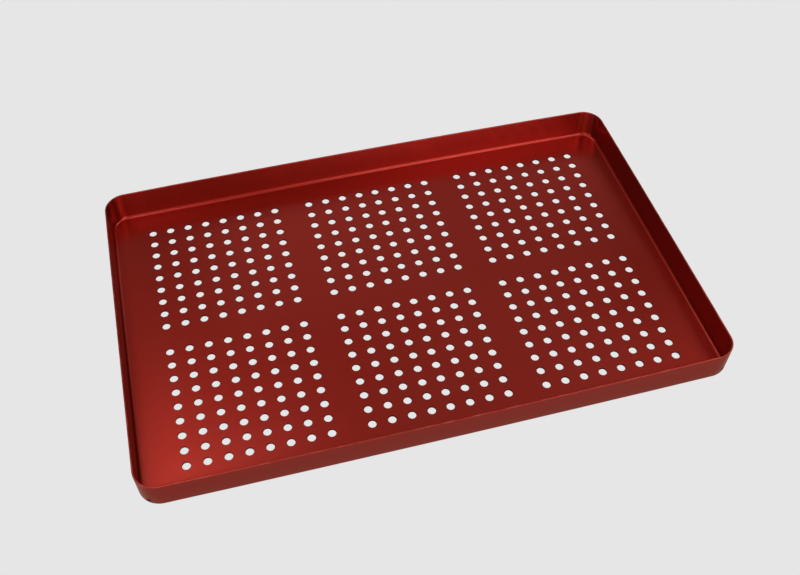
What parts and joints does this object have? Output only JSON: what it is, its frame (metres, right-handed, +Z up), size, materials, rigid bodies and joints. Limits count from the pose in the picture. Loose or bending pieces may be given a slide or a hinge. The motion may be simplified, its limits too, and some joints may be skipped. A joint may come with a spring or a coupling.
{
  "type": "perforated instrument tray",
  "caption": "Shallow rectangular tray pressed from one aluminium sheet, with near-vertical walls, round corners and a flat floor pierced with groups of round holes.",
  "frame": {"origin": "middle of the underside, on the plane that the tray stands on", "axes": "+X along the tray's length, +Y across it, +Z up out of the basin"},
  "size_m": [0.284, 0.183, 0.017],
  "materials": {
    "anodised_sheet": "red anodised aluminium, satin"
  },
  "bodies": {
    "root": {"tray": "anodised_sheet"}
  },
  "joints": []
}
